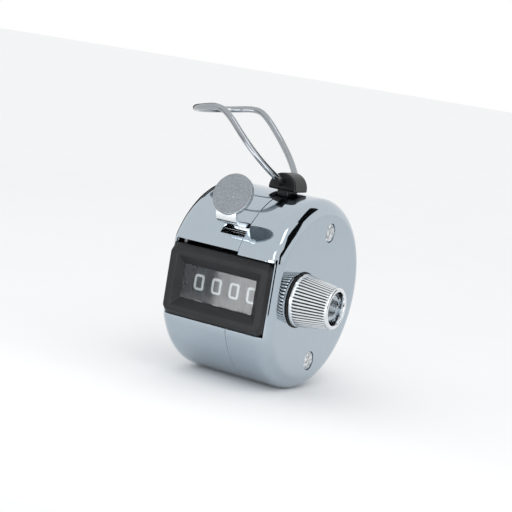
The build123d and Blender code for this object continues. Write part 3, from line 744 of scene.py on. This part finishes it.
class TALLY_OT_wheels(Operator):
    """Four moulded number wheels with their stamped digits"""
    bl_idname = "tally.wheels"
    bl_label = "Number wheels"

    def execute(self, context):
        plastic = moulded_plastic("moulded_wheel", colours().wheel, roughness=(0.3, 0.45), lighter=1.8)
        ink = printed_ink()
        digits = [digit_mesh(digit) for digit in range(10)]
        for name, x in WHEELS.items():
            self.add_wheel(name, x, plastic)
            self.add_digits(name, x, ink, digits)
        for mesh in digits:
            bpy.data.meshes.remove(mesh)
        return {"FINISHED"}

    def add_wheel(self, name, x, plastic):
        half = WHEEL_HALF / MM
        profile = [(-half, 2.06), (-half, 2.8), (-0.5, 2.8), (-0.5, 8.7), (-half + 0.1, 8.75), (-half, 8.85)]
        profile += [(-half, 9.8), (-half + 0.06, 9.94), (-half + 0.2, 10.0)]
        profile += [(half - 0.2, 10.0), (half - 0.06, 9.94), (half, 9.8)]
        profile += [(half, 8.85), (half - 0.1, 8.75), (0.5, 8.7)]
        profile += [(0.5, 2.8), (2.85, 2.8), (2.85, 2.06), (-half, 2.06)]
        bm = bmesh.new()
        lathe(bm, (x, WHEEL_Y, WHEEL_Z), [(along * MM, radius * MM) for along, radius in profile], 120)
        finish_piece(f"wheel_{name}", bm, plastic, f"wheel_{name}", "wheel_plastic",
                     f"number_wheel_{name}", sharp=30)

    def add_digits(self, name, x, ink, digits):
        bm = bmesh.new()
        for digit, mesh in enumerate(digits):
            known = set(bm.verts)
            bm.from_mesh(mesh)
            for vert in bm.verts:
                if vert not in known:
                    turn = vert.co.y / WHEEL_R + digit * 2 * pi / 10
                    reach = WHEEL_R + vert.co.z * 0.1
                    vert.co = (x + vert.co.x, WHEEL_Y - reach * cos(turn), WHEEL_Z + reach * sin(turn))
        bmesh.ops.remove_doubles(bm, verts=bm.verts, dist=1e-7)
        finish_piece(f"digits_{name}", bm, ink, f"wheel_{name}", "wheel_plastic", sharp=60)


# ---------------------------------------------------------------- thumb lever
class TALLY_OT_lever(Operator):
    """Thumb lever: bent strip on its sleeve, and the round stippled pad"""
    bl_idname = "tally.lever"
    bl_label = "Thumb lever"

    def execute(self, context):
        # the lever tint is the case's plating drawn lighter: a painted highlight
        chrome = chrome_plating("chrome_lever", colours().lever, waviness=1.6, roughness=(0.10, 0.2))
        self.add_strip(chrome)
        self.add_pad()
        return {"FINISHED"}

    def add_strip(self, chrome):
        width = 5.2 * MM
        thick = 1.0 * MM
        up = Vector((0, sin(PAD_LEAN), cos(PAD_LEAN)))
        bend = PAD_CENTRE - up * 6.3 * MM
        start = PIVOT + Vector((LEVER_X, 0, 0.7 * MM))
        along = (bend - start).normalized()
        turn = acos(along.dot(up))
        radius = 2.4 * MM
        cut = radius * abs(sin(turn / 2) / cos(turn / 2))
        bm = bmesh.new()
        # cross-section at the pivot, then straight, round the bend and up behind the pad
        section = bmesh.ops.create_grid(bm, x_segments=1, y_segments=1, size=0.5,
                                        matrix=Matrix.Translation(start + along * 1.2 * MM)
                                        @ along.to_track_quat("Z", "Y").to_matrix().to_4x4()
                                        @ Matrix.Diagonal((width, thick, 1, 1)))
        face = section["verts"][0].link_faces[0]
        run = (bend - start).length - cut - 1.2 * MM
        for share in (0.5, 0.5):
            face = self.extrude(bm, face, along * run * share)
        centre = bend - along * cut + (up - along * along.dot(up)).normalized() * radius
        steps = 8
        for _ in range(steps):
            face = self.extrude(bm, face, Vector((0, 0, 0)))
            axis = along.cross(up).normalized()
            bmesh.ops.rotate(bm, verts=face.verts, cent=centre, matrix=Matrix.Rotation(turn / steps, 3, axis))
        face = self.extrude(bm, face, up * (2.2 * MM - cut * 0.2))
        face = self.extrude(bm, face, up * 1.6 * MM)
        bmesh.ops.recalc_face_normals(bm, faces=bm.faces)
        self.add_rest(bm)
        piece = finish_piece("lever_strip", bm, chrome, "lever", "chrome_lever", "thumb_lever")
        soften(piece, 0.16 * MM, 3)

    def extrude(self, bm, face, step):
        made = bmesh.ops.extrude_face_region(bm, geom=[face])["geom"]
        fresh = [item for item in made if isinstance(item, BMFace)][0]
        bmesh.ops.delete(bm, geom=[face], context="FACES_ONLY")
        bmesh.ops.translate(bm, verts=fresh.verts, vec=step)
        return fresh

    def add_rest(self, bm):
        """Sleeve on the pivot rod, the rear arm down to the pawl's pin and the horn for the return spring."""
        tube = bmesh.new()
        profile = [(4.2, 1.25), (18.0, 1.25), (18.0, 1.9), (17.9, 2.0), (4.3, 2.0), (4.2, 1.9), (4.2, 1.25)]
        lathe(tube, PIVOT, [(along * MM, radius * MM) for along, radius in profile], 48)
        self.merge(bm, tube)
        pin = Vector((0, -2.7 * MM, 11.5 * MM))
        self.merge(bm, self.arm(PIVOT + Vector((0, 0, 0)), pin, LEVER_X - 2.6 * MM, 5.2 * MM, 1.5 * MM, 1.5 * MM))
        horn = Vector((0, -4.2 * MM, 11.9 * MM))
        self.merge(bm, self.arm(PIVOT, horn, 3.7 * MM, 2.0 * MM, 1.0 * MM, 1.0 * MM))

    def arm(self, start, end, x, width, boss, gap):
        """Flat arm between two points, with a round boss at its end."""
        bm = bmesh.new()
        along = (end - start).normalized()
        length = (end - start).length - gap * 0.3 - 1.7 * MM
        middle = start + along * (1.7 * MM + length / 2) + Vector((x + width / 2, 0, 0))
        bmesh.ops.create_cube(bm, size=1.0, matrix=Matrix.Translation(middle)
                              @ along.to_track_quat("Z", "Y").to_matrix().to_4x4()
                              @ Matrix.Diagonal((width, 1.0 * MM, length, 1)))
        hole = 0.76 * MM if boss > 1.2 * MM else 0.4 * MM
        ring = [(x, hole), (x + width, hole), (x + width, boss), (x, boss), (x, hole)]
        boss_mesh = bmesh.new()
        lathe(boss_mesh, end, ring, 32)
        self.merge(bm, boss_mesh)
        return bm

    def merge(self, bm, other):
        mesh = bpy.data.meshes.new("part")
        other.to_mesh(mesh)
        other.free()
        bm.from_mesh(mesh)
        bpy.data.meshes.remove(mesh)

    def add_pad(self):
        """Round pad with a rolled edge, and a grain pressed into its face."""
        radius = 4.9
        half = 0.55
        grain = sizes().grain
        normal = Vector((0, -cos(PAD_LEAN), sin(PAD_LEAN)))
        face = [(half, radius * i / 34) for i in range(0, 33)]
        face += arc((half - 0.3, radius - 0.3), 0.3, 0, 180 - 90, 4)[0:]
        back = arc((-half + 0.25, radius - 0.25), 0.25, 90, 180, 3)
        back += [(-half, radius * i / 6) for i in range(5, -1, -1)]
        bm = bmesh.new()
        lathe(bm, PAD_CENTRE, [(along * MM, r * MM) for along, r in face + back], 200, axis=normal)
        limit = (radius - 0.35) * MM
        for vert in bm.verts:
            from_centre = vert.co - PAD_CENTRE
            height = from_centre.dot(normal)
            spread = (from_centre - normal * height).length
            if height > 0.5 * half * MM and spread < limit:
                depth = noise.noise(vert.co / grain) * 0.045 * MM
                fade = min((limit - spread) / (0.5 * MM), 1)
                vert.co += normal * (depth * fade - 0.02 * MM * fade)
        finish_piece("thumb_pad", bm, blasted_chrome(), "lever", "chrome_lever", sharp=50)


# ---------------------------------------------------------------- finger ring and its clip
CLIP_Y = -2.25 * MM
CLIP_HALF = 2.95 * MM
RING_Z = 24.8 * MM
RING_ROUTE = (
    # along the ring's bent profile, and across it from the middle, in millimetres
    (0.0, 1.15), (0.0, 3.9), (6.0, 7.4), (12.0, 8.7), (19.4, 8.8), (23.0, 8.8), (28.2, 7.8), (33.0, 3.6),
)


def ring_point(along, across):
    """Point of the ring's wire in the row frame."""
    bend = 21.4
    straight = min(along, bend)
    beyond = max(along - bend, 0)
    lean, tip = radians(45.5), radians(101)
    x = -straight * sin(lean) - beyond * sin(tip)
    z = straight * cos(lean) + beyond * cos(tip)
    return Vector((SEAM_X + x * MM, CLIP_Y + across * MM, RING_Z + z * MM))


class TALLY_OT_ring(Operator):
    """Bent wire finger ring and the half-round clip that holds its ends"""
    bl_idname = "tally.ring"
    bl_label = "Finger ring"

    def execute(self, context):
        self.add_wire()
        self.add_clip()
        return {"FINISHED"}

    def add_wire(self):
        front = [ring_point(along, -across) for along, across in RING_ROUTE]
        rear = [ring_point(along, across) for along, across in reversed(RING_ROUTE)]
        curve = bpy.data.curves.new("ring_line", "CURVE")
        curve.dimensions = "3D"
        curve.bevel_depth = sizes().wire / 2
        curve.bevel_resolution = 6
        curve.resolution_u = 14
        curve.use_fill_caps = True
        spline = curve.splines.new("NURBS")
        spline.points.add(len(front + rear) - 1)
        for knot, point in zip(spline.points, front + rear):
            knot.co = (*point, 1)
        spline.order_u = 3
        spline.use_endpoint_u = True
        holder = bpy.data.objects.new("ring_line", curve)
        mesh = bpy.data.meshes.new_from_object(holder)
        bpy.data.objects.remove(holder)
        bpy.data.curves.remove(curve)
        bm = bmesh.new()
        bm.from_mesh(mesh)
        bpy.data.meshes.remove(mesh)
        bmesh.ops.remove_doubles(bm, verts=bm.verts, dist=1e-7)
        bmesh.ops.recalc_face_normals(bm, faces=bm.faces)
        finish_piece("finger_wire", bm, drawn_wire("drawn_wire", colours().wire), "ring", "ring_wire", "finger_ring")

    def add_clip(self):
        centre = Vector((SEAM_X, CLIP_Y - CLIP_HALF, 23.4 * MM))
        bm = bmesh.new()
        bmesh.ops.create_circle(bm, cap_ends=True, segments=72, radius=3.6 * MM,
                                matrix=Matrix.Translation(centre) @ Matrix.Rotation(pi / 2, 4, "X"))
        bmesh.ops.bisect_plane(bm, geom=bm.verts[:] + bm.edges[:] + bm.faces[:], plane_co=(0, 0, 22.9 * MM),
                               plane_no=(0, 0, 1), clear_inner=True)
        made = bmesh.ops.extrude_face_region(bm, geom=bm.faces[:])["geom"]
        bmesh.ops.translate(bm, verts=[item for item in made if isinstance(item, BMVert)],
                            vec=(0, 2 * CLIP_HALF, 0))
        bmesh.ops.recalc_face_normals(bm, faces=bm.faces)
        rims = [edge for edge in bm.edges if edge.calc_face_angle(0) > radians(45)]
        bmesh.ops.bevel(bm, geom=rims, affect="EDGES", offset=0.4 * MM, segments=4, profile=0.5, material=-1)
        neck = bmesh.new()
        low, high = Vector((-1.6, -2.2, 19.6)) * MM, Vector((1.6, 2.2, 23.2)) * MM
        middle = (low + high) / 2 + Vector((SEAM_X, CLIP_Y, 0))
        bmesh.ops.create_cube(neck, size=1.0, matrix=Matrix.Translation(middle) @ Matrix.Diagonal((*(high - low), 1)))
        vertical = [edge for edge in neck.edges
                    if abs((edge.verts[0].co - edge.verts[1].co).normalized().z) > 0.9]
        bmesh.ops.bevel(neck, geom=vertical, affect="EDGES", offset=0.5 * MM, segments=3, profile=0.5, material=-1)
        mesh = bpy.data.meshes.new("neck")
        neck.to_mesh(mesh)
        neck.free()
        bm.from_mesh(mesh)
        bpy.data.meshes.remove(mesh)
        plastic = moulded_plastic("moulded_clip", colours().clip, roughness=(0.3, 0.42), depth=0.006, lighter=1.3)
        piece = finish_piece("wire_clip", bm, plastic, "case", "clip_plastic", "ring_clip")
        # bores for the wire's two ends
        drill = bmesh.new()
        bmesh.ops.create_cone(drill, cap_ends=True, segments=40, radius1=0.86 * MM, radius2=0.86 * MM,
                              depth=4 * CLIP_HALF, matrix=Matrix.Translation((SEAM_X, CLIP_Y, RING_Z))
                              @ Matrix.Rotation(pi / 2, 4, "X"))
        cutter_mesh = bpy.data.meshes.new("drill")
        drill.to_mesh(cutter_mesh)
        drill.free()
        cutter = bpy.data.objects.new("drill", cutter_mesh)
        bpy.context.scene.collection.objects.link(cutter)
        modifier(piece, "BOOLEAN", object=cutter, operation="DIFFERENCE", solver="EXACT")
        bored = bpy.data.meshes.new_from_object(piece.evaluated_get(bpy.context.evaluated_depsgraph_get()))
        piece.modifiers.clear()
        old = piece.data
        piece.data = bored
        bpy.data.meshes.remove(old)
        bpy.data.objects.remove(cutter)
        bpy.data.meshes.remove(cutter_mesh)
        bored.name = "wire_clip"
        bored.set_sharp_from_angle(angle=radians(35))
        modifier(piece, "WEIGHTED_NORMAL", keep_sharp=True)


# ---------------------------------------------------------------- reset knob
RIB_STEPS = 6                  # points round the knob for each rib


class TALLY_OT_knob(Operator):
    """Ribbed, hollow-ended reset knob and the black washer under it"""
    bl_idname = "tally.knob"
    bl_label = "Reset knob"

    def execute(self, context):
        self.add_knob()
        self.add_washer()
        return {"FINISHED"}

    def add_knob(self):
        size = sizes()
        count = size.ribs * RIB_STEPS

        def place(co, station):
            x, radius, depth = station
            turn = atan2(co.z - WHEEL_Z, co.y - WHEEL_Y)
            groove = (0.5 - 0.5 * cos(turn * size.ribs)) ** 1.5
            reach = (radius - groove * depth) * MM
            return Vector((KNOB_X + x * MM, WHEEL_Y + reach * cos(turn), WHEEL_Z + reach * sin(turn)))

        depth = size.rib_depth / MM
        cone = 1.45 / 9.2
        stations = [(0, 2.4, 0), (0, 5.8, 0), (0.05, 6.0, 0), (0.18, 6.14, 0), (0.35, 6.12, 0), (0.6, 6.08, 0)]
        stations += [(0.7, 6.0, 0), (0.78, 6.0, depth * 0.5), (0.95, 6.05, depth)]
        stations += [(x, 6.2 - cone * x, depth) for x in (1.3, 2.5, 4.5, 6.5, 8.1)]
        stations += [(8.35, 6.2 - cone * 8.35, depth * 0.75), (8.55, 6.2 - cone * 8.55, depth * 0.25),
                     (8.65, 6.2 - cone * 8.65, 0), (8.85, 6.2 - cone * 8.85, 0),
                     (9.05, 4.68, 0), (9.16, 4.56, 0), (9.2, 4.42, 0), (9.2, 4.12, 0), (9.15, 3.98, 0), (9.0, 3.9, 0),
                     (7.0, 3.9, 0), (5.0, 3.9, 0), (4.85, 3.85, 0), (4.8, 3.7, 0), (4.8, 2.3, 0), (4.7, 2.06, 0),
                     (0.5, 2.06, 0)]
        bm = bmesh.new()
        pull_rings(bm, new_ring(bm, count, WHEEL_Y, WHEEL_Z), stations, place)
        bmesh.ops.recalc_face_normals(bm, faces=bm.faces)
        # the lever tint is the case's plating drawn lighter: a painted highlight
        metal = ribbed_metal("plated_knob", colours().lever)
        finish_piece("knob", bm, metal, "reset_shaft", "chrome_knob", "reset_knob", sharp=45)

    def add_washer(self):
        bm = bmesh.new()
        profile = [(0.02, 2.1), (0.27, 2.1), (0.27, 6.42), (0.22, 6.48), (0.15, 6.5), (0.05, 6.48), (0.02, 6.4),
                   (0.02, 2.1)]
        lathe(bm, (DRUM_W, WHEEL_Y, WHEEL_Z), [(along * MM, radius * MM) for along, radius in profile], 96)
        finish_piece("washer", bm, black_fibre(), "case", "washer_fibre", "knob_washer", sharp=40)


# ---------------------------------------------------------------- rivets
class TALLY_OT_rivets(Operator):
    """Peened rivet heads in their seats at both ends"""
    bl_idname = "tally.rivets"
    bl_label = "Rivets"

    def execute(self, context):
        bm = bmesh.new()
        profile = [(-8.0, 0), (-8.0, 1.0), (0, 1.0), (0, 2.05), (0.06, 2.13), (0.14, 2.15), (0.22, 2.08),
                   (0.29, 1.9), (0.33, 1.6), (0.345, 1.2), (0.33, 0.9), (0.28, 0.6), (0.26, 0.3), (0.25, 0)]
        for face_x, outward in ((0, -1), (DRUM_W, 1)):
            for y, z in RIVETS:
                centre = (face_x - outward * 0.4 * MM, y, z)
                head = [(along * MM, radius * MM) for along, radius in profile]
                known = set(bm.verts)
                lathe(bm, centre, head, 40, axis=(outward, 0, 0))
                for vert in set(bm.verts) - known:
                    rise = (vert.co.x - centre[0]) * outward
                    if rise > 0.2 * MM:
                        vert.co.x += outward * noise.noise(vert.co / (0.9 * MM)) * 0.05 * MM
        finish_piece("rivets", bm, tumbled_rivet(), "case", "rivet_steel", "case_rivets", sharp=60)
        return {"FINISHED"}


# ---------------------------------------------------------------- pieces kept from the frame
class TALLY_OT_works(Operator):
    """Gives the counting works their plated, turned and moulded finishes"""
    bl_idname = "tally.works"
    bl_label = "Counting works"

    def execute(self, context):
        finishes = frame_finishes()
        for node in frame["nodes"].values():
            for entry in node.material_slots:
                if entry.material.name in finishes:
                    entry.material = finishes[entry.material.name]
        return {"FINISHED"}


# ---------------------------------------------------------------- studio
CAMERA_AT = Vector((0.18917, -0.3177, 0.05535))
CAMERA_AXES = ((0.8504, 0.5004, 0.1625), (-0.2080, 0.0360, 0.9775), (0.4833, -0.8650, 0.1347))
CAMERA_LENS = 109.5
FLOOR_Z = -22.5 * MM
AIM = Vector((15 * MM, -5 * MM, 2 * MM))


LAMPS = (
    # bright panels: centre, width, height in millimetres, brightness
    ("low_front_right", (58, -118, 0), 74, 44, 2.8),
    ("low_front_left", (-17, -105, -8), 34, 28, 3.2),
    ("upper_right", (175, -125, 340), 60, 150, 2.6),
    ("front_right", (200, -270, 170), 60, 200, 2.6),
)
FLAGS = (
    # dark boards that give the plating its black streaks: centre, width, height in millimetres
    ("flag_low_right", (124, -72, 0), 26, 56),
    ("flag_low_left", (-62, -105, -8), 56, 28),
    ("flag_right", (400, -60, 90), 90, 220),
    ("flag_upper", (330, 70, 215), 220, 210),
    ("flag_back", (235, 190, 290), 200, 180),
    ("flag_left", (-280, 250, 60), 200, 260),
    ("flag_top_left", (-250, 180, 230), 120, 90),
)


class TALLY_OT_stage(Operator):
    """Pale floor, soft studio light and the camera"""
    bl_idname = "tally.stage"
    bl_label = "Stage"

    def execute(self, context):
        scene = context.scene
        scene.view_settings.view_transform = "Standard"
        self.add_camera(scene)
        self.add_floor(scene)
        self.add_world(scene)
        for name, centre, width, height, brightness in LAMPS:
            self.add_lamp(scene, name, Vector(centre) * MM, width * MM, height * MM, brightness)
        for name, centre, width, height in FLAGS:
            self.add_flag(scene, name, Vector(centre) * MM, width * MM, height * MM)
        return {"FINISHED"}

    def add_camera(self, scene):
        camera = bpy.data.cameras.new("camera")
        camera.lens = CAMERA_LENS
        camera.clip_start = 0.01
        holder = bpy.data.objects.new("camera", camera)
        right, up, back = [Vector(axis).normalized() for axis in CAMERA_AXES]
        turned = Matrix((right, up, back)).transposed().to_4x4()
        holder.matrix_world = Matrix.Translation(CAMERA_AT) @ turned
        scene.collection.objects.link(holder)
        scene.camera = holder

    def add_floor(self, scene):
        bm = bmesh.new()
        bmesh.ops.create_circle(bm, cap_ends=True, segments=96, radius=4.0,
                                matrix=Matrix.Translation((0, 0, FLOOR_Z)))
        mesh = bpy.data.meshes.new("floor")
        bm.to_mesh(mesh)
        bm.free()
        mesh.materials.append(studio_floor())
        floor = bpy.data.objects.new("floor", mesh)
        scene.collection.objects.link(floor)

    def add_world(self, scene):
        world = bpy.data.worlds.new("studio")
        world.use_nodes = True
        tree = world.node_tree
        tree.nodes.clear()
        light = add_node(tree, "ShaderNodeBackground", {"Color": (1.0, 1.0, 1.0, 1), "Strength": 1.0})
        add_node(tree, "ShaderNodeOutputWorld", {"Surface": light.outputs["Background"]})
        scene.world = world

    def facing(self, centre):
        """Placing of a panel that stands at centre and faces the object."""
        away = centre - AIM
        return Matrix.Translation(centre) @ away.to_track_quat("Z", "Y").to_matrix().to_4x4()

    def add_lamp(self, scene, name, centre, width, height, brightness):
        lamp = bpy.data.lights.new(name, "AREA")
        lamp.shape = "RECTANGLE"
        lamp.size, lamp.size_y = width, height
        lamp.energy = brightness * pi * width * height
        lamp.color = colours().lamp
        holder = bpy.data.objects.new(name, lamp)
        holder.matrix_world = self.facing(centre)
        holder.visible_camera = False
        scene.collection.objects.link(holder)

    def add_flag(self, scene, name, centre, width, height):
        bm = bmesh.new()
        bmesh.ops.create_grid(bm, x_segments=1, y_segments=1, size=0.5,
                              matrix=self.facing(centre) @ Matrix.Diagonal((width, height, 1, 1)))
        mesh = bpy.data.meshes.new(name)
        bm.to_mesh(mesh)
        bm.free()
        mesh.materials.append(self.flag_material())
        flag = bpy.data.objects.new(name, mesh)
        flag.visible_camera = False
        flag.visible_shadow = False
        flag.visible_diffuse = False
        scene.collection.objects.link(flag)

    def flag_material(self):
        """Black flocked board, which swallows light."""
        if "flock" in bpy.data.materials:
            return bpy.data.materials["flock"]
        material, tree, place = new_material("flock")
        nap = pattern(tree, place, 3 * MM, detail=2.0)
        surface(tree, Roughness=1.0, Specular_IOR_Level=0.0,
                Base_Color=blend_colour(tree, nap, (0.004, 0.004, 0.004, 1), (0.012, 0.012, 0.012, 1)))
        return material


OPERATORS = (
    TALLY_OT_shells, TALLY_OT_window, TALLY_OT_wheels, TALLY_OT_lever, TALLY_OT_ring, TALLY_OT_knob,
    TALLY_OT_rivets, TALLY_OT_works, TALLY_OT_stage,
)


class TALLY_PT_panel(Panel):
    """Lists the counter's pieces in the sidebar"""
    bl_idname = "TALLY_PT_panel"
    bl_label = "Tally Counter"
    bl_space_type = "VIEW_3D"
    bl_region_type = "UI"
    bl_category = "Tally"

    def draw(self, context):
        layout = self.layout
        for group in (context.scene.tally_sizes, context.scene.tally_colours):
            for key in group.__annotations__:
                layout.prop(group, key)
        for operator in OPERATORS:
            layout.operator(operator.bl_idname)


CLASSES = (TallySizes, TallyColours, *OPERATORS, TALLY_PT_panel)


def register():
    for item in CLASSES:
        bpy.utils.register_class(item)
    bpy.types.Scene.tally_sizes = PointerProperty(type=TallySizes)
    bpy.types.Scene.tally_colours = PointerProperty(type=TallyColours)


def unregister():
    del bpy.types.Scene.tally_colours
    del bpy.types.Scene.tally_sizes
    for item in reversed(CLASSES):
        bpy.utils.unregister_class(item)


def main():
    register()
    for operator in OPERATORS:
        area, name = operator.bl_idname.split(".")
        getattr(getattr(bpy.ops, area), name)()


if __name__ == "__main__":
    main()
